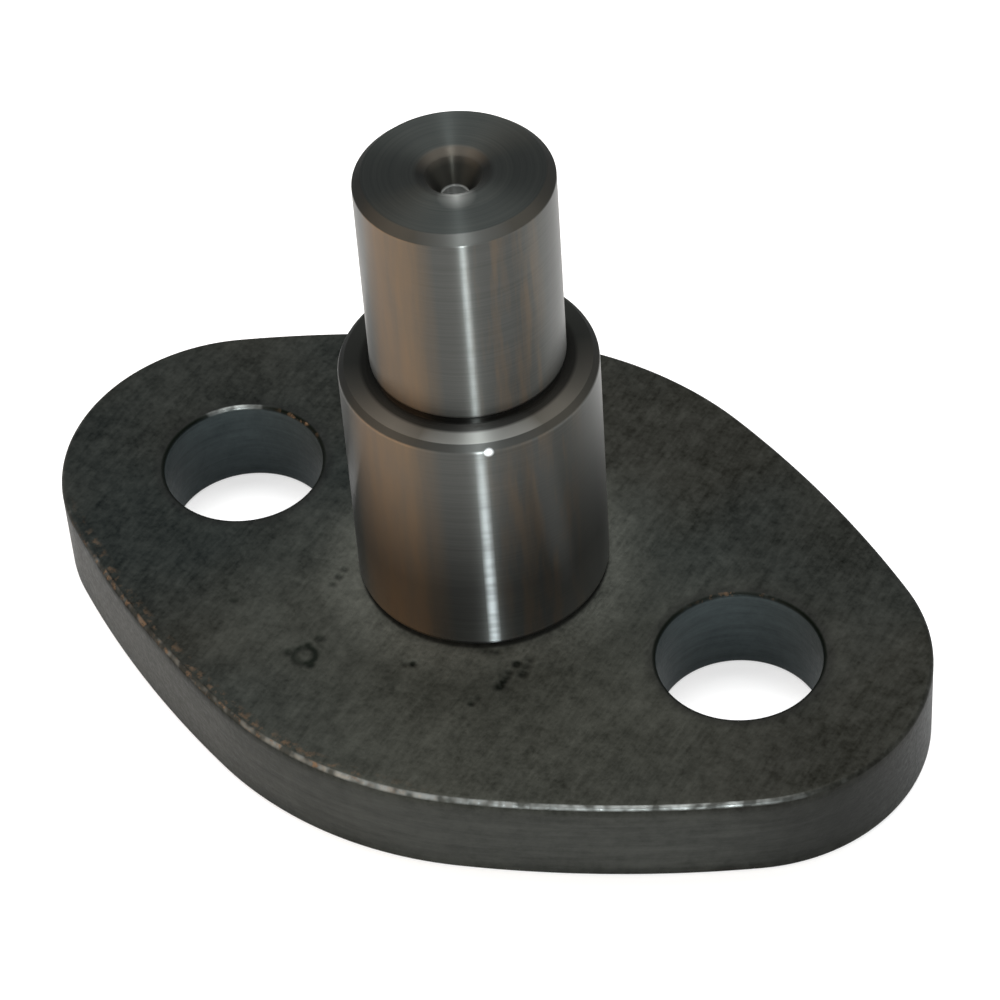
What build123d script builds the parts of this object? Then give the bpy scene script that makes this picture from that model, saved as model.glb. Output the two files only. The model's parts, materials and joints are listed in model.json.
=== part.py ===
from build123d import *
import math
import os

# Locating pin: a stepped pin pressed into a two-bolt flange plate. Millimetres, +Z up.
# The origin is on the pin's axis, on the plate's underside. The bolt holes lie along X.

# Flange plate
plate_thickness = 8.0
plate_width = 50.0  # across the two long sides, along Y
side_radius = 31.0  # round of the middle of each long side
flank_radius = 95.0  # gentle round between a long side and an end
hole_spacing = 46.0  # between the bolt holes, along X
hole_diameter = 13.0  # clearance for an M12 bolt
end_radius = 15.0  # round of each end, on the bolt hole's axis
edge_break = 0.5  # along both rims of the outline
hole_chamfer = 0.5  # at both mouths of each bolt hole
bore_chamfer = 0.3  # at both mouths of the pin's bore

# Pin, from the plate's face upwards
lower_diameter = 20.0
lower_height = 22.0  # to the shoulder
upper_diameter = 15.0
upper_height = 18.5  # from the shoulder to the end face
foot_chamfer = 0.6  # leaves the thin dark seam round the foot
shoulder_chamfer = 0.5
top_chamfer = 0.7

# Grinding relief at the root of the upper diameter, cut into the wall and into the shoulder,
# so that a seated part clears the corner
wall_relief_length = 0.8
wall_relief_depth = 0.25
wall_relief_run_out = 0.4  # length over which it slopes back to the wall
face_relief_width = 0.3
face_relief_depth = 0.15
relief_corner_radius = 0.2

# Spigot, below the plate's face
spigot_diameter = 16.0
spigot_recess = 0.4  # its end stops short of the plate's underside
spigot_chamfer = 0.8
press_gap = 0.01  # all round, in place of the press fit's interference

# Centre hole, the same in both ends of the pin
centre_mouth_diameter = 5.5  # of the wide cone that protects the seat
centre_seat_diameter = 4.25  # of the cone that the lathe centre bears on
centre_pilot_diameter = 2.0
centre_pilot_length = 1.0
mouth_cone_angle = 120.0
seat_cone_angle = 60.0
drill_point_angle = 118.0

# Radii and heights that follow
hole_x = hole_spacing / 2
lower_radius = lower_diameter / 2
upper_radius = upper_diameter / 2
relief_radius = upper_radius - wall_relief_depth
spigot_radius = spigot_diameter / 2
shoulder = plate_thickness + lower_height
relief_floor = shoulder - face_relief_depth
top = shoulder + upper_height


def cone_height(wide_diameter, narrow_diameter, cone_angle):
    return (wide_diameter - narrow_diameter) / 2 / math.tan(math.radians(cone_angle / 2))


# Each flank arc touches an end arc and a side arc from outside, so its centre lies at the
# difference of the radii from both of their centres. That triangle's sides give the two angles
# from X at which the arcs meet.
side_centre = plate_width / 2 - side_radius
centre_distance = math.hypot(hole_x, side_centre)
centre_angle = math.atan2(side_centre, -hole_x)  # from the end arc's centre to the side arc's
end_reach = flank_radius - end_radius
side_reach = flank_radius - side_radius
end_corner = math.acos(
    (end_reach**2 + centre_distance**2 - side_reach**2) / (2 * end_reach * centre_distance)
)
flank_centre_angle = centre_angle % math.tau + end_corner
flank_centre_x = hole_x + end_reach * math.cos(flank_centre_angle)
flank_centre_y = end_reach * math.sin(flank_centre_angle)
end_angle = math.degrees(math.atan2(-flank_centre_y, hole_x - flank_centre_x))
side_angle = math.degrees(math.atan2(side_centre - flank_centre_y, -flank_centre_x))

# Flange plate: two side arcs and two end arcs, joined by four flank arcs
with BuildPart() as flange_plate:
    with BuildSketch():
        with BuildLine():
            end_arc = CenterArc((hole_x, 0), end_radius, -end_angle, 2 * end_angle)
            flank = CenterArc(
                (flank_centre_x, flank_centre_y), flank_radius, end_angle, side_angle - end_angle
            )
            side_arc = CenterArc((0, side_centre), side_radius, side_angle, 180 - 2 * side_angle)
            other_flank = mirror(flank, about=Plane.YZ)
            mirror(end_arc, about=Plane.YZ)
            mirror([side_arc, flank, other_flank], about=Plane.XZ)
        make_face()
    extrude(amount=plate_thickness)
    chamfer(flange_plate.faces().filter_by(Axis.Z).edges(), edge_break)
    with Locations((-hole_x, 0), (hole_x, 0)):
        Hole(hole_diameter / 2)
    chamfer(flange_plate.edges(Select.LAST).filter_by(GeomType.CIRCLE), hole_chamfer)
    Hole(spigot_radius + press_gap)
    chamfer(flange_plate.edges(Select.LAST).filter_by(GeomType.CIRCLE), bore_chamfer)

# Centre hole: what the centre drill takes out, with its mouth at the origin and its point down
mouth_depth = cone_height(centre_mouth_diameter, centre_seat_diameter, mouth_cone_angle)
seat_depth = cone_height(centre_seat_diameter, centre_pilot_diameter, seat_cone_angle)
pilot_end = mouth_depth + seat_depth + centre_pilot_length
point_end = pilot_end + cone_height(centre_pilot_diameter, 0, drill_point_angle)
with BuildPart() as centre_hole:
    with BuildSketch(Plane.XZ):
        with BuildLine():
            Polyline(
                (0, 0),
                (centre_mouth_diameter / 2, 0),
                (centre_seat_diameter / 2, -mouth_depth),
                (centre_pilot_diameter / 2, -mouth_depth - seat_depth),
                (centre_pilot_diameter / 2, -pilot_end),
                (0, -point_end),
                close=True,
            )
        make_face()
    revolve(axis=Axis.Z)

# Stepped pin: its half section, turned about the axis, with a centre hole in each end
with BuildPart() as stepped_pin:
    with BuildSketch(Plane.XZ) as half_section:
        with BuildLine():
            Polyline(
                (0, spigot_recess),
                (spigot_radius - spigot_chamfer, spigot_recess),
                (spigot_radius, spigot_recess + spigot_chamfer),
                (spigot_radius, plate_thickness),
                (lower_radius - foot_chamfer, plate_thickness),
                (lower_radius, plate_thickness + foot_chamfer),
                (lower_radius, shoulder - shoulder_chamfer),
                (lower_radius - shoulder_chamfer, shoulder),
                (upper_radius + face_relief_width, shoulder),
                (relief_radius, relief_floor),
                (relief_radius, shoulder + wall_relief_length - wall_relief_run_out),
                (upper_radius, shoulder + wall_relief_length),
                (upper_radius, top - top_chamfer),
                (upper_radius - top_chamfer, top),
                (0, top),
                close=True,
            )
        make_face()
        corner = half_section.vertices().sort_by_distance((relief_radius, relief_floor))[0]
        fillet(corner, relief_corner_radius)
    revolve(axis=Axis.Z)
    with Locations(Location((0, 0, top)), Location((0, 0, spigot_recess), (180, 0, 0))):
        add(centre_hole.part, mode=Mode.SUBTRACT)

flange_plate.part.label = "flange_plate"
stepped_pin.part.label = "stepped_pin"

os.makedirs("parts", exist_ok=True)
export_step(flange_plate.part, "parts/flange_plate.step")
export_step(stepped_pin.part, "parts/stepped_pin.step")
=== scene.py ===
import json
import math
import random

import bpy
import numpy as np
from mathutils import Matrix, Vector, noise
from mathutils.geometry import delaunay_2d_cdt


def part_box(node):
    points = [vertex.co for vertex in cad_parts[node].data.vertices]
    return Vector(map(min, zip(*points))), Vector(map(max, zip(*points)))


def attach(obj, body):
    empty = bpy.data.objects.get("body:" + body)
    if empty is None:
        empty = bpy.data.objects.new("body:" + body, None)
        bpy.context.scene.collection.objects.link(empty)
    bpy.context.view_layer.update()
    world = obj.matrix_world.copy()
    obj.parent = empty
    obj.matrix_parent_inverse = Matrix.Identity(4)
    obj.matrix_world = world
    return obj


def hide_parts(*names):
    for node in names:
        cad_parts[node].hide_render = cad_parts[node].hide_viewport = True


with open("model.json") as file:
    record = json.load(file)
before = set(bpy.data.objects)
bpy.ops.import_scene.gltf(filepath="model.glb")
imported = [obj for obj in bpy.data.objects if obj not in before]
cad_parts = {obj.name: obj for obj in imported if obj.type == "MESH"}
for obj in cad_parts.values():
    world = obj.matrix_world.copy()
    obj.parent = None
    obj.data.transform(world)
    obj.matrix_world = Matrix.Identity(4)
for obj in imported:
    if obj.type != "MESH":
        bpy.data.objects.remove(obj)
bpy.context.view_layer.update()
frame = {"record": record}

MM = 0.001

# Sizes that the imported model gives
mounts = {mount["name"]: mount for mount in frame["record"]["mounts"]}


def wall_span(name):
    """The heights between which a pin mount's straight wall runs."""
    middle = mounts[name]["pos_m"][2]
    half = mounts[name]["dims"]["length_mm"] * MM / 2
    return middle - half, middle + half


lower_start, lower_end = wall_span("lower_pin")
upper_start, upper_end = wall_span("upper_pin")
lower_radius = mounts["lower_pin"]["dims"]["r_mm"] * MM
upper_radius = mounts["upper_pin"]["dims"]["r_mm"] * MM
hole_radius = mounts["bolt_holes"]["dims"]["hole_r_mm"] * MM
hole_x = mounts["bolt_holes"]["dims"]["spacing_x_mm"] * MM / 2
shoulder = mounts["shoulder"]["pos_m"][2]
plate_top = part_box("flange_plate")[1].z
half_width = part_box("flange_plate")[1].y
pin_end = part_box("stepped_pin")[0].z
pin_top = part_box("stepped_pin")[1].z

# Sizes that it doesn't name
SIDE_RADIUS = 31 * MM
FLANK_RADIUS = 95 * MM
END_RADIUS = 15 * MM
BORE_RADIUS = 8.01 * MM
SPIGOT_RADIUS = 8 * MM
SPIGOT_CHAMFER = 0.8 * MM
RELIEF_RADIUS = 7.25 * MM
RELIEF_DROP = 0.15 * MM
RELIEF_FACE_RADIUS = 7.8 * MM
RELIEF_RUN_OUT = 0.4 * MM
CENTRE_MOUTH = (2.75 * MM, 0)  # radius and depth of each corner of a centre hole
CENTRE_SEAT = (2.125 * MM, 0.36 * MM)
CENTRE_PILOT = (1 * MM, 2.31 * MM)
CENTRE_PILOT_END = (1 * MM, 3.31 * MM)
CENTRE_POINT = (0, 3.91 * MM)

# Roundings, and how far the wear and the painted shade beside them reach
RIM_ROUND = 0.38 * MM  # of the plate's upper edge
BASE_ROUND = 0.4 * MM  # of its lower edge
BRIM = 1.3 * MM  # how far in from the rim its rust spills
MOUTH_ROUND = 0.35 * MM  # of the bolt holes
BORE_ROUND = 0.25 * MM
LIP_SHADE = 0.75 * MM  # how far down a hole its painted lip shade fades
EDGE_ROUND = 0.12 * MM  # of most of the pin's corners
TOP_EDGE_ROUND = 0.24 * MM  # at both ends of the top chamfer
SHOULDER_EDGE_ROUND = 0.48 * MM  # where the shoulder's chamfer meets the lower wall
FOOT_EDGE_ROUND = 0.6 * MM  # where the foot's chamfer meets the lower wall
LIP_ROUND = 0.3 * MM  # of the centre holes' mouths
ROUND_MIDDLE = 0.586  # of a rounding, across and down together, from its corner to its middle
ROUND_REACH = 0.42  # of a rounding, from there to where its wear and painted shade end

# How finely the meshes are divided
ROUND_STEPS = 8
TURN_STEPS = 288
HOLE_STEPS = 160
WALL_STEPS = 6
OUTLINE_STEP = 0.16 * MM
FACE_STEP = 0.9 * MM
DENT_STEP = 0.12 * MM
INSIDE_CONSTRAINTS = 1  # the kind of result asked of the triangulation
CDT_TOLERANCE = 1e-7  # in millimetres

# Wear and painted highlight along the plate's front rim: places along X in millimetres, and its
# strength at each
RUST_ALONG = ((-34, -29, -24, -12, -3, 2, 6, 10), (0, 0.7, 0.6, 0.75, 1, 0.9, 0.35, 0))
SHINE_ALONG = ((-38, -30, -10, 0, 6, 22, 30, 36), (0.2, 0.3, 0.4, 0.8, 1, 0.9, 0.9, 0.1))
BURR_ALONG = ((-30, -24, 14, 24), (0, 1, 1, 0))
BURR_DEPTH = 0.1 * MM
BURR_PITCHES = (1.3 * MM, 0.83 * MM, 0.41 * MM)
BURR_FULL = 1.6  # sum of the waves from which a bite is as deep as it gets
FAR_RIM_SHINE = 0.1
PAINTED_LIGHT_PATCH = (6 * MM, -10 * MM)  # middle of a painted pool of light on the face

# Wear and painted highlight round the lips of the holes: strength, then middle and reach as angles
# from +X in degrees
LEFT_LIP_SHINE = (1, 128, 34)
LEFT_LIP_RUST = (1, 76, 26)
RIGHT_LIP_SHINE = (0.2, 122, 60)
RIGHT_LIP_RUST = (0.6, 122, 45)
NO_WEAR = (0, 0, 1)

# Marks round the pin
WARM_REFLECTION_AZIMUTH = -8  # middle of a painted warm reflection down both walls
FAINT_REFLECTION_AZIMUTH = 62  # middle of some fainter painted reflection streaks
HIGHLIGHT_AZIMUTH = 35.7  # middle of a painted highlight line down the walls, brightest at the foot
GLINT_AZIMUTH = 39.4  # of a painted glint below the shoulder's edge
GLINT_DROP = 0.12 * MM  # how far below the edge it lies
PAINTED_SHEEN_AZIMUTH = 37  # middle of the painted highlight on the shoulder and the chamfers

# Blows to the plate's face, each placed by the pixel of the photograph that shows it
RING_MARK = (305, 655)
LONE_DENTS = ((320, 638), (310, 664), (517, 664), (234, 600))
DENT_CHAINS = (  # first pixel, last pixel and number of dents
    ((289, 652), (308, 645), 4),
    ((405, 664), (413, 664), 2),
    ((485, 650), (497, 652), 3),
    ((472, 703), (478, 698), 2),
    ((500, 686), (509, 672), 4),
    ((523, 673), (530, 659), 3),
    ((333, 584), (345, 569), 3),
)
RING_RADIUS = 0.85 * MM
RING_HALF_WIDTH = 0.55 * MM
RING_DEPTH = 0.06 * MM
DENT_RADII = (0.5 * MM, 0.75 * MM)  # least and most
DENT_DEPTHS = (0.04 * MM, 0.08 * MM)
DENT_DARK = 0.055 * MM  # depth from which a dent is as dark as it gets
DENT_SEED = 5

# Camera, fitted to the photograph
FRAME_PIXELS = 1000
FOCAL_PIXELS = 3986
SENSOR_MM = 36
CAMERA_AZIMUTH = 33.5
CAMERA_ELEVATION = 45.45
CAMERA_ROLL = 4.35
CAMERA_DISTANCE = 318.1 * MM
AIM_PIXEL = (484.5, 556.0)  # where the pin's axis meets the plate's face


def bearing(azimuth, elevation):
    """Unit vector towards an azimuth and elevation in degrees. Azimuth 0 is -Y and 90 is +X."""
    a, e = math.radians(azimuth), math.radians(elevation)
    return Vector((math.sin(a) * math.cos(e), -math.cos(a) * math.cos(e), math.sin(e)))


def camera_frame():
    """The camera's place, and its unit vectors to the right, upwards and backwards."""
    back = bearing(CAMERA_AZIMUTH, CAMERA_ELEVATION)
    level = bearing(CAMERA_AZIMUTH + 90, 0)
    upright = back.cross(level)
    roll = math.radians(CAMERA_ROLL)
    right = level * math.cos(roll) - upright * math.sin(roll)
    up = level * math.sin(roll) + upright * math.cos(roll)
    metres_per_pixel = CAMERA_DISTANCE / FOCAL_PIXELS
    across = (AIM_PIXEL[0] - FRAME_PIXELS / 2) * metres_per_pixel
    down = (AIM_PIXEL[1] - FRAME_PIXELS / 2) * metres_per_pixel
    place = Vector((0, 0, plate_top)) + back * CAMERA_DISTANCE - right * across + up * down
    return place, right, up, back


def on_face(pixel):
    """The X and Y on the plate's face that a pixel of the photograph shows."""
    place, right, up, back = camera_frame()
    across = pixel[0] - FRAME_PIXELS / 2
    down = pixel[1] - FRAME_PIXELS / 2
    ray = right * across - up * down - back * FOCAL_PIXELS
    return (place + ray * ((plate_top - place.z) / ray.z)).xy


def make_camera():
    place, right, up, back = camera_frame()
    data = bpy.data.cameras.new("camera")
    data.sensor_width = SENSOR_MM
    data.lens = SENSOR_MM * FOCAL_PIXELS / FRAME_PIXELS
    data.clip_start = 10 * MM
    camera = bpy.data.objects.new("camera", data)
    turn = Matrix((right, up, back)).transposed().to_4x4()
    camera.matrix_world = Matrix.Translation(place) @ turn
    bpy.context.scene.collection.objects.link(camera)
    bpy.context.scene.camera = camera


def make_object(name, vertices, faces, attributes=None):
    """A smooth-shaded mesh object, with a number at each vertex for each of its attributes."""
    mesh = bpy.data.meshes.new(name)
    mesh.from_pydata(vertices, [], faces)
    mesh.shade_smooth()
    for key, values in (attributes or {}).items():
        layer = mesh.attributes.new(key, "FLOAT", "POINT")
        layer.data.foreach_set("value", np.asarray(values, np.float32))
    piece = bpy.data.objects.new(name, mesh)
    bpy.context.scene.collection.objects.link(piece)
    return piece


def rounded(corners):
    """A line through corners of x, y and rounding radius, with an arc at each rounded one."""
    points = []
    for k, (x, y, radius) in enumerate(corners):
        if radius == 0:
            points.append((x, y))
            continue
        here = Vector((x, y))
        back = (Vector(corners[k - 1][:2]) - here).normalized()
        on = (Vector(corners[k + 1][:2]) - here).normalized()
        half_angle = back.angle(on) / 2
        reach = radius / math.tan(half_angle)
        centre = here + (back + on).normalized() * (radius / math.sin(half_angle))
        start, stop = here + back * reach - centre, here + on * reach - centre
        first = math.atan2(start.y, start.x)
        sweep = math.remainder(math.atan2(stop.y, stop.x) - first, 2 * math.pi)
        for step in range(ROUND_STEPS + 1):
            angle = first + sweep * step / ROUND_STEPS
            across, up = radius * math.cos(angle), radius * math.sin(angle)
            points.append((centre.x + across, centre.y + up))
    return points


def circle(x, radius, height, count):
    """Points round an upright axis that stands at x."""
    angles = np.arange(count) * 2 * math.pi / count
    return [(x + radius * math.cos(a), radius * math.sin(a), height) for a in angles]


def bands(start, loops, count):
    """Quads between loops of count vertices each, the first of which begins at vertex start."""
    faces = []
    for loop in range(loops - 1):
        low = start + loop * count
        for k in range(count):
            on = (k + 1) % count
            faces.append((low + k, low + on, low + count + on, low + count + k))
    return faces


# The stepped pin

def pin_corners():
    """The pin's half section: radius, height and rounding of each corner, from its lower end up."""
    foot_chamfer = lower_start - plate_top
    shoulder_chamfer = shoulder - lower_end
    top_chamfer = pin_top - upper_end
    return [
        (CENTRE_POINT[0], pin_end + CENTRE_POINT[1], 0),
        (CENTRE_PILOT_END[0], pin_end + CENTRE_PILOT_END[1], 0),
        (CENTRE_PILOT[0], pin_end + CENTRE_PILOT[1], EDGE_ROUND),
        (CENTRE_SEAT[0], pin_end + CENTRE_SEAT[1], EDGE_ROUND),
        (CENTRE_MOUTH[0], pin_end, LIP_ROUND),
        (SPIGOT_RADIUS - SPIGOT_CHAMFER, pin_end, EDGE_ROUND),
        (SPIGOT_RADIUS, pin_end + SPIGOT_CHAMFER, EDGE_ROUND),
        (SPIGOT_RADIUS, plate_top, 0),
        (lower_radius - foot_chamfer, plate_top, EDGE_ROUND),
        (lower_radius, lower_start, FOOT_EDGE_ROUND),
        (lower_radius, lower_end, SHOULDER_EDGE_ROUND),
        (lower_radius - shoulder_chamfer, shoulder, EDGE_ROUND),
        (RELIEF_FACE_RADIUS, shoulder, EDGE_ROUND),
        (RELIEF_RADIUS, shoulder - RELIEF_DROP, EDGE_ROUND),
        (RELIEF_RADIUS, upper_start - RELIEF_RUN_OUT, EDGE_ROUND),
        (upper_radius, upper_start, EDGE_ROUND),
        (upper_radius, upper_end, TOP_EDGE_ROUND),
        (upper_radius - top_chamfer, pin_top, TOP_EDGE_ROUND),
        (CENTRE_MOUTH[0], pin_top, LIP_ROUND),
        (CENTRE_SEAT[0], pin_top - CENTRE_SEAT[1], EDGE_ROUND),
        (CENTRE_PILOT[0], pin_top - CENTRE_PILOT[1], EDGE_ROUND),
        (CENTRE_PILOT_END[0], pin_top - CENTRE_PILOT_END[1], 0),
        (CENTRE_POINT[0], pin_top - CENTRE_POINT[1], 0),
    ]


def make_pin():
    profile = rounded(pin_corners())
    vertices = [(0, 0, profile[0][1])]
    for radius, height in profile[1:-1]:
        vertices += circle(0, radius, height, TURN_STEPS)
    vertices.append((0, 0, profile[-1][1]))
    faces = bands(1, len(profile) - 2, TURN_STEPS)
    last = len(vertices) - 1
    for k in range(TURN_STEPS):
        on = (k + 1) % TURN_STEPS
        faces.append((0, 1 + on, 1 + k))
        faces.append((last, last - TURN_STEPS + k, last - TURN_STEPS + on))
    return make_object("ground_pin", vertices, faces)


# The flange plate

def outline():
    """Points round the plate, as rows of x, y and the outward normal's x and y."""
    side_y = half_width - SIDE_RADIUS
    apart = math.hypot(hole_x, side_y)
    end_reach, side_reach = FLANK_RADIUS - END_RADIUS, FLANK_RADIUS - SIDE_RADIUS
    corner = math.acos((end_reach**2 + apart**2 - side_reach**2) / (2 * end_reach * apart))
    turn = math.atan2(side_y, -hole_x) % math.tau + corner
    flank_x, flank_y = hole_x + end_reach * math.cos(turn), end_reach * math.sin(turn)
    end = math.atan2(-flank_y, hole_x - flank_x)
    side = math.atan2(side_y - flank_y, -flank_x)
    arcs = (
        (hole_x, 0, END_RADIUS, -end, end),
        (flank_x, flank_y, FLANK_RADIUS, end, side),
        (0, side_y, SIDE_RADIUS, side, math.pi - side),
        (-flank_x, flank_y, FLANK_RADIUS, math.pi - side, math.pi - end),
        (-hole_x, 0, END_RADIUS, math.pi - end, math.pi + end),
        (-flank_x, -flank_y, FLANK_RADIUS, math.pi + end, math.pi + side),
        (0, -side_y, SIDE_RADIUS, math.pi + side, math.tau - side),
        (flank_x, -flank_y, FLANK_RADIUS, math.tau - side, math.tau - end),
    )
    rows = []
    for x, y, radius, start, stop in arcs:
        count = round((stop - start) * radius / OUTLINE_STEP)
        for angle in np.linspace(start, stop, count, endpoint=False):
            normal = (math.cos(angle), math.sin(angle))
            rows.append((x + radius * normal[0], y + radius * normal[1], *normal))
    return np.array(rows)


def rim_profile():
    """The plate's edge as inset and height, from its underside over the side to its top."""
    straight = [(0, plate_top * (k + 1) / (WALL_STEPS + 1), 0) for k in range(WALL_STEPS)]
    corners = [(2 * RIM_ROUND, 0, 0), (0, 0, BASE_ROUND)]
    corners += straight + [(0, plate_top, RIM_ROUND)]
    corners += [(BRIM * (k + 1) / 4, plate_top, 0) for k in range(1, 4)]
    return rounded(corners)


def hole_profile(radius, rounding):
    """A hole's wall as radius and height, from its top mouth down."""
    drops = [LIP_SHADE] + [plate_top * (k + 1) / (WALL_STEPS + 1) for k in range(WALL_STEPS)]
    straight = [(radius, plate_top - drop, 0) for drop in drops]
    corners = [(radius + 2 * rounding, plate_top, 0), (radius, plate_top, rounding)]
    corners += straight + [(radius, 0, rounding), (radius + 2 * rounding, 0, 0)]
    return rounded(corners)


def hump(value, middle, reach):
    """1 at the middle, falling smoothly to 0 at the reach on either side."""
    t = np.clip(1 - np.abs(value - middle) / reach, 0, 1)
    return t * t * (3 - 2 * t)


def worn_and_shaded_edge(off, rounding):
    """1 at the middle of a rounded edge and 0 at its ends, by the way off its sharp corner."""
    return hump(off, ROUND_MIDDLE * rounding, ROUND_REACH * rounding)


def burrs(along):
    """Uneven bites along the milled rim, from 0 to 1, at distances along it."""
    bite = np.zeros(len(along))
    for k, pitch in enumerate(BURR_PITCHES):
        waver = np.array([noise.noise(Vector((place / (3 * pitch), k, 0))) for place in along])
        bite += np.abs(np.sin(math.pi * along / pitch + 3 * waver)) * (0.5 + waver)
    return np.clip(bite / BURR_FULL, 0, 1)


def make_dents():
    """Rows of x, y, ring radius, reach and depth. The ring radius is 0 in all but the first."""
    draw = random.Random(DENT_SEED)
    spots = [Vector(pixel) for pixel in LONE_DENTS]
    for first, last, count in DENT_CHAINS:
        spots += [Vector(first).lerp(Vector(last), k / (count - 1)) for k in range(count)]
    dents = [(*on_face(RING_MARK), RING_RADIUS, RING_HALF_WIDTH, RING_DEPTH)]
    for spot in spots:
        dents.append((*on_face(spot), 0, draw.uniform(*DENT_RADII), draw.uniform(*DENT_DEPTHS)))
    return dents


def dent_depth(dents, x, y):
    """How far the face is beaten in at a place."""
    depth = 0
    for middle_x, middle_y, ring, reach, deepest in dents:
        depth = max(depth, deepest * hump(math.hypot(x - middle_x, y - middle_y), ring, reach))
    return depth


def patch_at(patches, x, y):
    """The number of the patch that divides the face at a place. It is 0 where there is no dent."""
    for k, (middle_x, middle_y, _, reach) in enumerate(patches):
        if reach and math.hypot(x - middle_x, y - middle_y) < reach:
            return k
    return 0


def face_points(rim, holes, dents):
    """A grid of points on the plate's face, clear of its edge and holes, and finer at the dents."""
    points = []
    patches = [(0, 0, FACE_STEP, None)]
    patches += [(x, y, DENT_STEP, ring + reach + DENT_STEP) for x, y, ring, reach, _ in dents]
    for k, (middle_x, middle_y, step, reach) in enumerate(patches):
        row_step = step * math.sqrt(3) / 2
        rows = int((reach or half_width) / row_step) + 1
        columns = int((reach or hole_x + END_RADIUS) / step) + 1
        for row in range(-rows, rows + 1):
            for column in range(-columns, columns + 1):
                x, y = middle_x + (column + row % 2 / 2) * step, middle_y + row * row_step
                if patch_at(patches, x, y) != k:
                    continue
                clear = ((rim[:, 0] - x) * rim[:, 2] + (rim[:, 1] - y) * rim[:, 3]).min()
                if clear < BRIM + step / 2:
                    continue
                if all(math.hypot(x - hx, y) > radius + step / 2 for hx, radius in holes):
                    points.append((x, y))
    return points


def cap_triangles(points, loops, holes):
    """Triangles over the first loop less the round holes. A loop holds the numbers of its points."""
    edges = [(loop[k], loop[(k + 1) % len(loop)]) for loop in loops for k in range(len(loop))]
    flat = [Vector((x / MM, y / MM)) for x, y in points]
    result = delaunay_2d_cdt(flat, edges, [], INSIDE_CONSTRAINTS, CDT_TOLERANCE)
    spread, _, triangles, source, _, _ = result
    kept = []
    for triangle in triangles:
        middle = sum((spread[k] for k in triangle), Vector((0, 0))) / 3 * MM
        if all((middle - Vector((x, 0))).length > radius for x, radius in holes):
            kept.append([source[k][0] for k in triangle])
    return kept


PLATE_MARKS = ("edge", "brim", "side", "bore", "lip", "shine", "rust", "dent")


class PlateMesh:
    """The plate's mesh in the making, with a number at each vertex for each of its marks."""

    def __init__(self):
        self.vertices = []
        self.faces = []
        self.marks = {key: [] for key in PLATE_MARKS}

    def mark(self, count, **values):
        """Set the marks of the next count vertices. A mark that isn't given is 0."""
        for key, numbers in self.marks.items():
            numbers += list(np.broadcast_to(values.get(key, 0.0), count))

    def add_side(self, rim):
        """The side with its bitten upper edge. Returns its loops at the face and the underside."""
        count = len(rim)
        front = rim[:, 1] < 0
        bite = BURR_DEPTH * burrs(np.arange(count) * OUTLINE_STEP) * front
        bite = bite * np.interp(rim[:, 0] / MM, *BURR_ALONG)
        rust = front * np.interp(rim[:, 0] / MM, *RUST_ALONG)
        shine = np.where(front, np.interp(rim[:, 0] / MM, *SHINE_ALONG), FAR_RIM_SHINE)
        profile = rim_profile()
        for inset, height in profile:
            edge = worn_and_shaded_edge(inset + plate_top - height, RIM_ROUND)
            for (x, y, normal_x, normal_y), depth in zip(rim, bite * edge):
                shift = inset + depth
                point = (x - shift * normal_x, y - shift * normal_y, height - depth / 2)
                self.vertices.append(point)
            side = hump(height, (plate_top - RIM_ROUND) / 2, plate_top / 2) ** 0.2 * (inset == 0)
            brim = hump(inset, 0.45 * BRIM, 0.55 * BRIM) * (height == plate_top)
            self.mark(count, edge=edge, brim=brim, side=side, shine=shine, rust=rust)
        self.faces += bands(0, len(profile), count)
        return range(len(self.vertices) - count, len(self.vertices)), range(count)

    def add_hole(self, x, radius, rounding, shine, rust):
        """A hole's wall. Returns its loops at the face and the underside."""
        start = len(self.vertices)
        profile = hole_profile(radius, rounding)
        for reach, height in profile:
            self.vertices += circle(x, reach, height, HOLE_STEPS)
            drop = plate_top - height
            lip = worn_and_shaded_edge(reach - radius + drop, rounding)
            if reach == radius:
                lip = hump(drop, rounding, LIP_SHADE - rounding)
            inside = 1.0 if reach < radius + rounding / 4 else 0.0
            self.mark(HOLE_STEPS, lip=lip, bore=inside, shine=shine, rust=rust)
        self.faces += bands(start, len(profile), HOLE_STEPS)
        stop = len(self.vertices)
        return range(start, start + HOLE_STEPS), range(stop - HOLE_STEPS, stop)

    def add_cap(self, loops, holes, height, grid, depths, flip):
        """The face or the underside: the loops, and between them a grid sunk by the depths."""
        numbers = [k for loop in loops for k in loop]
        points = [self.vertices[k][:2] for k in numbers] + grid
        place = {number: k for k, number in enumerate(numbers)}
        numbers += range(len(self.vertices), len(self.vertices) + len(grid))
        self.vertices += [(x, y, height - depth) for (x, y), depth in zip(grid, depths)]
        self.mark(len(grid), dent=np.clip(np.array(depths) / DENT_DARK, 0, 1))
        local = [[place[k] for k in loop] for loop in loops]
        for triangle in cap_triangles(points, local, holes):
            a, b, c = (numbers[k] for k in triangle)
            self.faces.append((a, c, b) if flip else (a, b, c))


def lip_wear(strength, middle, reach):
    """Wear at each point round a hole's lip."""
    return strength * hump(np.arange(HOLE_STEPS) * 360 / HOLE_STEPS, middle, reach)


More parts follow.
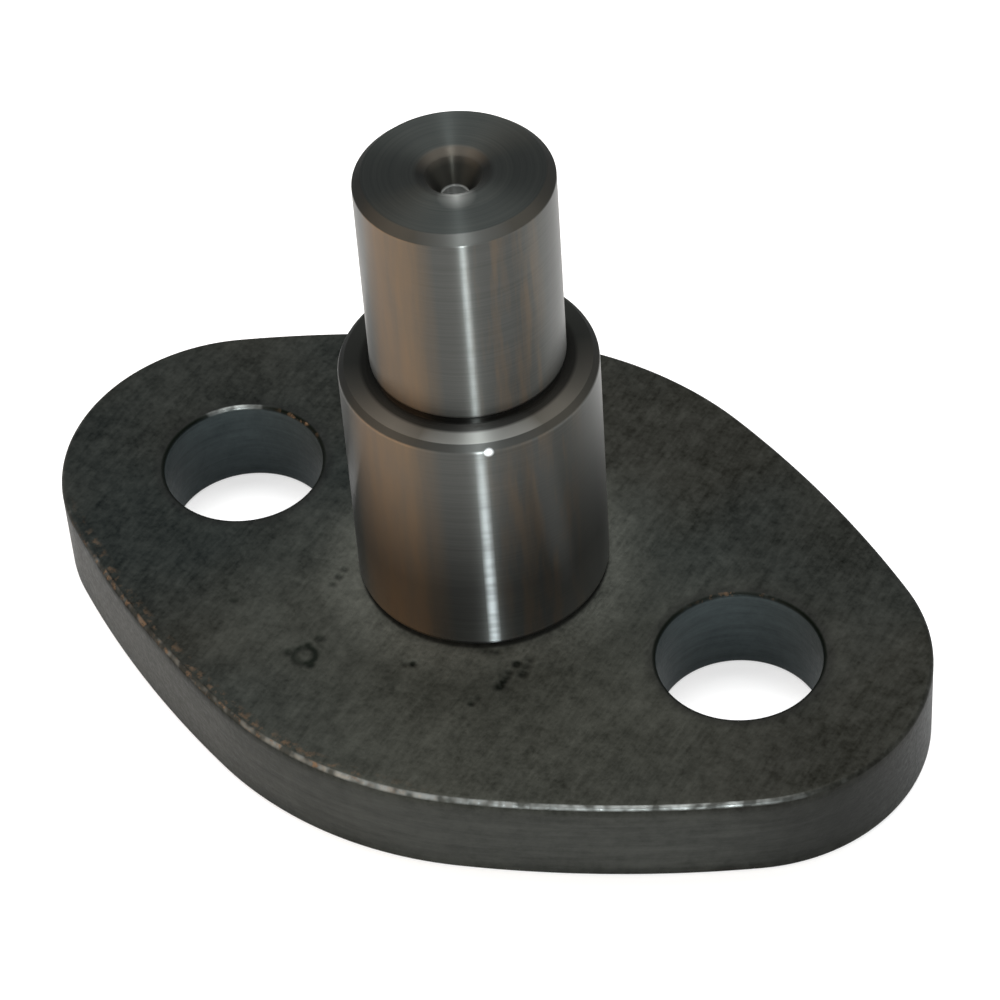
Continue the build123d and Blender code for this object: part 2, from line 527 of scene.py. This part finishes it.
def make_plate():
    plate = PlateMesh()
    rim = outline()
    loops = [plate.add_side(rim)]
    holes = []
    for x, radius, rounding, shine, rust in (
        (-hole_x, hole_radius, MOUTH_ROUND, LEFT_LIP_SHINE, LEFT_LIP_RUST),
        (hole_x, hole_radius, MOUTH_ROUND, RIGHT_LIP_SHINE, RIGHT_LIP_RUST),
        (0, BORE_RADIUS, BORE_ROUND, NO_WEAR, NO_WEAR),
    ):
        loops.append(plate.add_hole(x, radius, rounding, lip_wear(*shine), lip_wear(*rust)))
        holes.append((x, radius + 2 * rounding))
    face_loops, base_loops = zip(*loops)
    dents = make_dents()
    grid = face_points(rim, holes, dents)
    depths = [dent_depth(dents, x, y) for x, y in grid]
    plate.add_cap(face_loops, holes, plate_top, grid, depths, flip=False)
    plate.add_cap(base_loops, holes, 0, grid, [0.0] * len(grid), flip=True)
    return make_object("milled_plate", plate.vertices, plate.faces, plate.marks)


# Colours. A pair holds the two between which a surface varies.

# Painted shade: at the pin's foot, round the hole mouths, at the plate's ends and in the seam at the
# pin's foot
PAINTED_SHADE = (0.004, 0.004, 0.004)
# Painted shade on the pin's walls
PAINTED_WALL_SHADE = (0.0, 0.0, 0.0)

COLD_FACE = ((0.0, 0.001, 0.001), (0.0155, 0.018, 0.0165))
WARM_FACE = ((0.001, 0.001, 0.0), (0.02, 0.0205, 0.0175))
# Painted light: the face's colours in its lit pool and in front of the pin's foot
PAINTED_LIGHT_FACE = ((0.014, 0.015, 0.012), (0.05, 0.052, 0.044))
PAINTED_FOOT_LIGHT_FACE = ((0.04, 0.042, 0.036), (0.12, 0.124, 0.108))
PLATE_SIDE = ((0.012, 0.013, 0.012), (0.05, 0.052, 0.047))
HOLE_WALL = ((0.016, 0.021, 0.022), (0.055, 0.068, 0.07))
# Darker dents, and painted shade on the hole lips
DARK_DENT_AND_LIP_SHADE = (0.001, 0.002, 0.001)
# Bare worn edge, brightest where the highlight falls: wear and painted highlight
BARE_EDGE_HIGHLIGHT = (0.17, 0.18, 0.175)
RUST = ((0.04, 0.027, 0.016), (0.16, 0.1, 0.06))

GROUND_WALL = ((0.066, 0.068, 0.064), (0.08, 0.082, 0.077))
# Painted warm reflection on the walls
PAINTED_WARM_REFLECTION = (0.13, 0.097, 0.066)
# Painted highlight down the walls
PAINTED_HIGHLIGHT_LINE = (0.26, 0.275, 0.275)
BEVEL = ((0.012, 0.013, 0.012), (0.045, 0.043, 0.037))  # painted shade at its back and painted light at its front
# Painted highlight on the bevels
PAINTED_SHEEN_BEVEL = (0.07, 0.072, 0.068)
LEDGE = ((0.02, 0.021, 0.019), (0.085, 0.08, 0.069))  # the shoulder, painted shade at its back and painted light at its front
# Painted highlight on the shoulder
PAINTED_SHEEN_LEDGE = (0.26, 0.265, 0.25)
# Painted shade in the relief
RELIEF_SHADE = (0.008, 0.008, 0.007)
# Painted glint
PAINTED_GLINT = (0.7, 0.72, 0.72)
# Painted shade: the end face and the centre hole's cones are darker than the walls
END_FACE = ((0.023, 0.026, 0.025), (0.031, 0.034, 0.032))
MOUTH_CONE = ((0.016, 0.017, 0.016), (0.062, 0.056, 0.047))  # painted shade at its near side and painted light at its far side
SEAT_CONE = (0.022, 0.022, 0.019)
# Painted highlight on the centre hole's near lip
PAINTED_LIP_HIGHLIGHT = (0.105, 0.108, 0.103)
# Painted light on the pilot's wall
PAINTED_PILOT_LIGHT = (0.24, 0.25, 0.24)


# Materials

class Graph:
    """The shader nodes of a material or world. Each call adds some, with inputs set or linked."""

    def __init__(self, owner):
        self.owner = owner
        owner.use_nodes = True
        self.tree = owner.node_tree
        self.tree.nodes.clear()

    def add(self, kind, inputs=None, **settings):
        made = self.tree.nodes.new("ShaderNode" + kind)
        for key, value in settings.items():
            setattr(made, key, value)
        for key, value in (inputs or {}).items():
            if isinstance(value, bpy.types.NodeSocket):
                self.tree.links.new(value, made.inputs[key])
            else:
                made.inputs[key].default_value = value
        return made.outputs

    def maths(self, operation, a, b=0.0):
        return self.add("Math", {0: a, 1: b}, operation=operation)["Value"]

    def times(self, a, b):
        return self.maths("MULTIPLY", a, b)

    def greater(self, a, b):
        return self.maths("MAXIMUM", a, b)

    def mark(self, name):
        return self.add("Attribute", attribute_name=name)["Fac"]

    def scaled(self, vector, x, y, z):
        return self.add("VectorMath", {0: vector, 1: (x, y, z)}, operation="MULTIPLY")["Vector"]

    def noise(self, vector, scale, detail, roughness):
        inputs = {"Vector": vector, "Scale": scale, "Detail": detail, "Roughness": roughness}
        return self.add("TexNoise", inputs)["Fac"]

    def between(self, value, low, high, start=0.0, stop=1.0):
        """Start up to the low value, stop from the high one on, and even in between."""
        inputs = {"Value": value, "From Min": low, "From Max": high, "To Min": start, "To Max": stop}
        return self.add("MapRange", inputs)["Result"]

    def mix(self, factor, one, other):
        """From one colour to the other."""
        one, other = ((*c, 1) if isinstance(c, tuple) else c for c in (one, other))
        return self.add("Mix", {0: factor, 6: one, 7: other}, data_type="RGBA")[2]

    def blend(self, factor, one, other):
        """From one number to the other."""
        return self.add("Mix", {0: factor, 2: one, 3: other})[0]

    def gap(self, place, x, y, z):
        """Distance from a point."""
        return self.add("VectorMath", {0: place, 1: (x, y, z)}, operation="DISTANCE")["Value"]

    def away(self, place, x, y):
        """Distance in plan from an upright line at x and y."""
        return self.gap(self.scaled(place, 1, 1, 0), x, y, 0)

    def toward(self, direction, azimuth, far, near):
        """1 within the near angle of an azimuth, falling to 0 at the far one, in degrees."""
        turn = {0: direction, 1: bearing(azimuth, 0)}
        facing = self.add("VectorMath", turn, operation="DOT_PRODUCT")["Value"]
        return self.between(facing, math.cos(math.radians(far)), math.cos(math.radians(near)))

    def weighted(self, *parts):
        """Sum of values that are even about 0.5, each taken from there and times its weight."""
        total = 0.0
        for value, weight in parts:
            centred = self.maths("SUBTRACT", value, 0.5)
            total = self.maths("ADD", total, self.times(centred, weight))
        return total

    def bump(self, height, depth):
        return self.add("Bump", {"Height": height, "Distance": depth, "Strength": 1.0})["Normal"]

    def finish(self, surface):
        is_material = isinstance(self.owner, bpy.types.Material)
        self.add("OutputMaterial" if is_material else "OutputWorld", {"Surface": surface})
        return self.owner


def plate_face(graph, place, tone):
    """The milled face, with a painted pool of light on it and more painted light in front of the
    pin's foot, and painted shade round the pin's foot and the hole mouths.
    """
    level = graph.between(tone, -0.5, 0.5)
    warmth = graph.between(graph.noise(place, 45, 2, 0.5), 0.35, 0.65)
    face = graph.mix(warmth, graph.mix(level, *COLD_FACE), graph.mix(level, *WARM_FACE))
    # Painted light: a pale pool on the face, paler still in front of the pin's foot
    painted_light = graph.between(graph.away(place, *PAINTED_LIGHT_PATCH), 25 * MM, 5 * MM, 0, 0.75)
    face = graph.mix(painted_light, face, graph.mix(level, *PAINTED_LIGHT_FACE))
    from_axis = graph.away(place, 0, 0)
    painted_foot_light = graph.times(painted_light, graph.between(from_axis, 14 * MM, 10.5 * MM))
    face = graph.mix(painted_foot_light, face, graph.mix(level, *PAINTED_FOOT_LIGHT_FACE))
    # Painted shade: a dark ring round the pin's foot and round each hole mouth
    shade_ring = graph.between(from_axis, lower_radius + 0.05 * MM, lower_radius - 0.2 * MM, 0, 0.7)
    for x in (-hole_x, hole_x):
        from_hole = graph.away(place, x, 0)
        mouth = graph.between(from_hole, hole_radius + 1.1 * MM, hole_radius + 0.3 * MM, 0, 0.5)
        shade_ring = graph.greater(shade_ring, mouth)
    return graph.mix(shade_ring, face, PAINTED_SHADE)


def plate_side(graph, place, streak):
    """The side, with painted shade darkening it towards both ends of the plate."""
    side = graph.mix(graph.between(streak, -0.6, 0.6), *PLATE_SIDE)
    outward = graph.maths("ABSOLUTE", graph.add("SeparateXYZ", {0: place})["X"])
    # Painted shade towards the plate's ends
    return graph.mix(graph.between(outward, 28 * MM, 36 * MM, 0, 0.6), side, PAINTED_SHADE)


def edge_wear(graph, place, worn):
    """How bright and how rusty the worn edges are, the brightness partly a painted highlight."""
    shine = graph.mark("shine")
    bead = graph.weighted((graph.noise(place, 1000, 1, 0.5), 3), (shine, 0.8))
    bright = graph.times(graph.times(worn, shine), graph.between(bead, -0.1, 0.7, 0.15, 1))
    speck = graph.between(graph.noise(place, 900, 4, 0.7), 0.52, 0.62)
    spill = graph.between(graph.noise(place, 1400, 3, 0.6), 0.5, 0.64, 0, 0.5)
    spill = graph.times(graph.mark("brim"), spill)
    rusty = graph.times(graph.mark("rust"), graph.greater(graph.times(worn, speck), spill))
    return bright, rusty


def plate_steel():
    graph = Graph(bpy.data.materials.new("plate_steel"))
    place = graph.add("TexCoord")["Object"]
    edge, side, bore, lip, dent = (graph.mark(key) for key in ("edge", "side", "bore", "lip", "dent"))
    tool_marks = graph.noise(graph.scaled(place, 2400, 300, 300), 1, 2, 0.6)
    side_marks = graph.noise(graph.scaled(place, 160, 160, 1800), 1, 3, 0.6)
    cloud = graph.noise(place, 110, 4, 0.65)
    mottle = graph.noise(place, 800, 3, 0.65)
    grain = graph.noise(place, 2600, 3, 0.6)

    tone = graph.weighted((cloud, 0.8), (tool_marks, 0.6), (mottle, 1.0), (grain, 0.9))
    streak = graph.weighted((side_marks, 0.9), (cloud, 0.6), (mottle, 0.5), (grain, 0.5))
    colour = graph.mix(side, plate_face(graph, place, tone), plate_side(graph, place, streak))
    colour = graph.mix(bore, colour, graph.mix(graph.between(streak, -0.6, 0.6), *HOLE_WALL))
    dent_darkening = graph.times(dent, graph.between(mottle, 0.35, 0.6, 0.45, 1))
    # Dents darkened by their depth, and painted shade on the hole lips
    colour = graph.mix(graph.times(graph.greater(dent_darkening, lip), 0.92), colour, DARK_DENT_AND_LIP_SHADE)
    bright, rusty = edge_wear(graph, place, graph.greater(edge, lip))
    # Bare worn edge, brightest where the highlight falls: wear and painted highlight
    colour = graph.mix(bright, colour, BARE_EDGE_HIGHLIGHT)
    colour = graph.mix(rusty, colour, graph.mix(graph.noise(place, 1500, 2, 0.5), *RUST))

    height = graph.weighted((tool_marks, 0.7), (mottle, 0.8), (grain, 0.5))
    side_height = graph.weighted((side_marks, 0.5), (mottle, 0.8), (grain, 0.5))
    height = graph.blend(graph.greater(side, bore), height, side_height)
    rough = graph.blend(bright, graph.between(grain, 0.2, 0.8, 0.42, 0.62), 0.3)
    shader = graph.add("BsdfPrincipled", {
        "Base Color": colour,
        "Metallic": graph.blend(rusty, 0.5, 0.0),
        "Specular IOR Level": 0.03,
        "Roughness": graph.blend(rusty, rough, 0.8),
        "Normal": graph.bump(height, 0.03 * MM),
    })
    return graph.finish(shader["BSDF"])


def pin_reflection_streaks(graph, height, direction):
    """The painted warm reflection and the fainter painted reflection streaks, both uneven round the
    pin.
    """
    upright = graph.add("CombineXYZ", {0: 0.0, 1: 0.0, 2: graph.times(height, 12)})["Vector"]
    streak_place = graph.add("VectorMath", {0: direction, 1: upright}, operation="ADD")["Vector"]
    streaks = graph.noise(streak_place, 9, 3, 0.6)
    warm_band = graph.toward(direction, WARM_REFLECTION_AZIMUTH, 27, 12)
    warm_band = graph.times(warm_band, graph.between(streaks, 0.3, 0.65, 0.55, 1))
    faint = graph.toward(direction, FAINT_REFLECTION_AZIMUTH, 27, 12)
    faint = graph.times(faint, graph.between(streaks, 0.45, 0.65, 0, 0.5))
    return graph.greater(warm_band, faint)


def pin_wall(graph, place, height, direction, lines):
    """The ground walls, with a painted warm reflection, painted shade about 6 mm above the plate and
    in the seam at the foot, and a painted highlight line.
    """
    wall = graph.mix(graph.between(lines, 0.3, 0.7), *GROUND_WALL)
    # Painted warm reflection and fainter painted streaks down the wall
    wall = graph.mix(pin_reflection_streaks(graph, height, direction), wall, PAINTED_WARM_REFLECTION)
    # Painted shade: the wall is darkest about 6 mm above the plate
    above_band = graph.between(height, plate_top + 5 * MM, plate_top + 18 * MM, 0.6, 1)
    below_band = graph.between(height, plate_top + 7 * MM, plate_top, 0.6, 1)
    wall = graph.mix(graph.greater(above_band, below_band), PAINTED_WALL_SHADE, wall)
    # Painted highlight: a bright beaded line down the walls, brightest at the foot
    beads = graph.noise(graph.scaled(place, 0.2, 0.2, 1), 1300, 1, 0.5)
    highlight_line = graph.toward(direction, HIGHLIGHT_AZIMUTH, 3, 0.3)
    highlight_line = graph.times(highlight_line, graph.between(height, shoulder, plate_top, 0.12, 0.95))
    highlight_line = graph.times(highlight_line, graph.between(beads, 0.35, 0.6, 0.55, 1))
    wall = graph.mix(highlight_line, wall, PAINTED_HIGHLIGHT_LINE)
    # Painted shade in the seam at the foot
    seam = graph.between(height, lower_start + 0.3 * MM, lower_start, 0, 0.8)
    return graph.mix(seam, wall, PAINTED_SHADE)


def pin_edges(graph, direction):
    """The bevels and the shoulder, both with painted light at the front and painted shade at the
    back, and a painted highlight in the middle of the front.
    """
    # Painted light at the front and painted shade at the back, with a painted highlight in the middle
    front = graph.toward(direction, PAINTED_SHEEN_AZIMUTH, 95, 45)
    sheen_band = graph.toward(direction, PAINTED_SHEEN_AZIMUTH, 30, 0)
    bevel = graph.mix(sheen_band, graph.mix(front, *BEVEL), PAINTED_SHEEN_BEVEL)
    ledge = graph.mix(sheen_band, graph.mix(front, *LEDGE), PAINTED_SHEEN_LEDGE)
    return bevel, ledge


def pin_end_face(graph, place, across, direction, lines):
    """The end face and the cones of its centre hole, in painted shade, with painted light on the
    mouth's far side and a painted highlight on its near lip.
    """
    end = graph.mix(graph.between(lines, 0.3, 0.7), *END_FACE)
    mouth = graph.between(across, CENTRE_MOUTH[0] + 0.3 * MM, CENTRE_MOUTH[0] - 0.1 * MM)
    # Painted light on the mouth cone's far side
    far_side = graph.toward(direction, HIGHLIGHT_AZIMUTH + 180, 85, 30)
    end = graph.mix(mouth, end, graph.mix(far_side, *MOUTH_CONE))
    # Painted shade on the seat cone
    seat = graph.between(across, CENTRE_SEAT[0] + 0.2 * MM, CENTRE_SEAT[0] - 0.3 * MM)
    end = graph.mix(seat, end, SEAT_CONE)
    # Painted highlight on the near lip
    spot = bearing(HIGHLIGHT_AZIMUTH, 0) * CENTRE_MOUTH[0]
    lip_highlight = graph.between(graph.away(place, *spot.xy), 1.5 * MM, 0.1 * MM)
    return graph.mix(lip_highlight, end, PAINTED_LIP_HIGHLIGHT)


def pin_relief_shade(graph, across, height):
    """How much painted shade a place takes by the relief at the root of the upper wall."""
    inward = graph.between(across, RELIEF_FACE_RADIUS + 0.6 * MM, RELIEF_FACE_RADIUS + 0.3 * MM)
    under = graph.between(height, upper_start + 0.2 * MM, upper_start - 0.1 * MM)
    over = graph.between(height, shoulder - 1 * MM, shoulder - 0.5 * MM, 0, 0.85)
    return graph.times(graph.times(inward, under), over)


def pin_pilot(graph, across, height):
    """1 on the wall of the upper centre hole's pilot."""
    inward = graph.between(across, CENTRE_PILOT[0] + 0.1 * MM, CENTRE_PILOT[0] + 0.02 * MM)
    floor = pin_top - CENTRE_PILOT_END[1]
    return graph.times(inward, graph.between(height, floor, floor + 0.2 * MM))


def pin_glint(graph, place):
    """1 on the painted glint below the shoulder's edge."""
    spot = bearing(GLINT_AZIMUTH, 0) * lower_radius
    gap = graph.gap(place, spot.x, spot.y, lower_end - GLINT_DROP)
    return graph.between(gap, 0.42 * MM, 0.2 * MM)


def pin_steel():
    graph = Graph(bpy.data.materials.new("pin_steel"))
    coordinates = graph.add("TexCoord")
    place = coordinates["Object"]
    axes = graph.add("SeparateXYZ", {0: place})
    height = axes["Z"]
    flat = graph.scaled(place, 1, 1, 0)
    across = graph.add("VectorMath", {0: flat}, operation="LENGTH")["Value"]
    direction = graph.add("VectorMath", {0: flat}, operation="NORMALIZE")["Vector"]
    lathe = {0: across, 1: height, 2: graph.times(axes["X"], 0.02)}
    lines = graph.noise(graph.add("CombineXYZ", lathe)["Vector"], 5200, 2, 0.6)

    upward = graph.add("SeparateXYZ", {0: coordinates["Normal"]})["Z"]
    slope = graph.between(upward, 0.35, 0.6)
    in_centre = graph.between(across, CENTRE_MOUTH[0] + 0.35 * MM, CENTRE_MOUTH[0] + 0.15 * MM)
    level = graph.greater(graph.between(upward, 0.8, 0.95), in_centre)
    bevel, ledge = pin_edges(graph, direction)
    top_end = graph.between(height, shoulder + 1 * MM, shoulder + 2 * MM)
    end_face = pin_end_face(graph, place, across, direction, lines)
    colour = graph.mix(slope, pin_wall(graph, place, height, direction, lines), bevel)
    colour = graph.mix(level, colour, graph.mix(top_end, ledge, end_face))
    # Painted shade at the root of the upper wall
    colour = graph.mix(pin_relief_shade(graph, across, height), colour, RELIEF_SHADE)
    # Painted glint below the shoulder's edge
    colour = graph.mix(pin_glint(graph, place), colour, PAINTED_GLINT)
    # Painted light on the pilot's wall, pale and hardly metallic
    pilot = pin_pilot(graph, across, height)
    colour = graph.mix(pilot, colour, PAINTED_PILOT_LIGHT)

    shader = graph.add("BsdfPrincipled", {
        "Base Color": colour,
        "Metallic": graph.blend(pilot, 0.97, 0.1),
        "Roughness": graph.blend(slope, 0.3, 0.62),
        "Anisotropic": 1.0,
        "Anisotropic Rotation": 0.25,
        "Tangent": graph.add("Tangent", direction_type="RADIAL", axis="Z")["Tangent"],
        "Normal": graph.bump(lines, 0.0004 * MM),
    })
    return graph.finish(shader["BSDF"])


# Floor, backdrop and light

FLOOR_HALF = 3.0
FLOOR_GLOW = 0.55  # where it is seen, so that it shows as white as the backdrop
WORLD_LIGHT = 0.55  # strength of the backdrop where it isn't seen


def seen_directly(graph):
    """1 for what the camera, a reflection or clear glass shows, and 0 for what only gives light."""
    path = graph.add("LightPath")
    seen = graph.greater(path["Is Camera Ray"], path["Is Glossy Ray"])
    return graph.greater(seen, path["Is Transmission Ray"])


def make_floor():
    corners = [(-FLOOR_HALF, -FLOOR_HALF, 0), (FLOOR_HALF, -FLOOR_HALF, 0)]
    corners += [(FLOOR_HALF, FLOOR_HALF, 0), (-FLOOR_HALF, FLOOR_HALF, 0)]
    floor = make_object("floor", corners, [(0, 1, 2, 3)])
    graph = Graph(bpy.data.materials.new("pale_floor"))
    glow = graph.add("Emission", {"Strength": graph.times(seen_directly(graph), FLOOR_GLOW)})
    matt = graph.add("BsdfDiffuse", {"Color": (0.5, 0.5, 0.5, 1)})
    both = graph.add("AddShader", {0: matt["BSDF"], 1: glow["Emission"]})
    floor.data.materials.append(graph.finish(both["Shader"]))


def make_world():
    world = bpy.data.worlds.new("studio")
    bpy.context.scene.world = world
    graph = Graph(world)
    level = graph.between(seen_directly(graph), 0, 1, WORLD_LIGHT, 1.0)
    graph.finish(graph.add("Background", {"Color": (1, 1, 1, 1), "Strength": level})["Background"])


def make_lamp(name, azimuth, elevation, distance, width, height, power, colour=(1, 1, 1)):
    """A soft rectangular lamp that faces the pin. Its azimuth counts from the camera's."""
    back = bearing(CAMERA_AZIMUTH + azimuth, elevation)
    data = bpy.data.lights.new(name, "AREA")
    data.shape = "RECTANGLE"
    data.size = width
    data.size_y = height
    data.energy = power
    data.color = colour
    lamp = bpy.data.objects.new(name, data)
    lamp.location = Vector((0, 0, shoulder)) + back * distance
    lamp.rotation_euler = back.to_track_quat("Z", "Y").to_euler()
    bpy.context.scene.collection.objects.link(lamp)


make_camera()
make_floor()
make_world()

# Lamps: angles in degrees, then distance, width and height in metres, and power in watts
make_lamp("low_strip", 3.0, 10, 0.5, 0.008, 0.28, 2.4, (0.9, 0.97, 1))
make_lamp("high_strip", 3.2, 70, 0.5, 0.03, 0.2, 0.6)
make_lamp("overhead", 181, 70, 1.0, 0.8, 0.5, 14.0)
make_lamp("warm_box", -80, 18, 0.9, 1.1, 0.7, 5, (1, 0.62, 0.32))
make_lamp("side_box", 80, 25, 0.9, 0.7, 0.6, 1.2, (1, 0.92, 0.8))

for make_piece, material, node, slot in (
    (make_plate, plate_steel, "flange_plate", "plate_steel"),
    (make_pin, pin_steel, "stepped_pin", "pin_steel"),
):
    piece = make_piece()
    piece.data.materials.append(material())
    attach(piece, "root")
    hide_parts(node)

bpy.context.scene.view_settings.view_transform = "Standard"
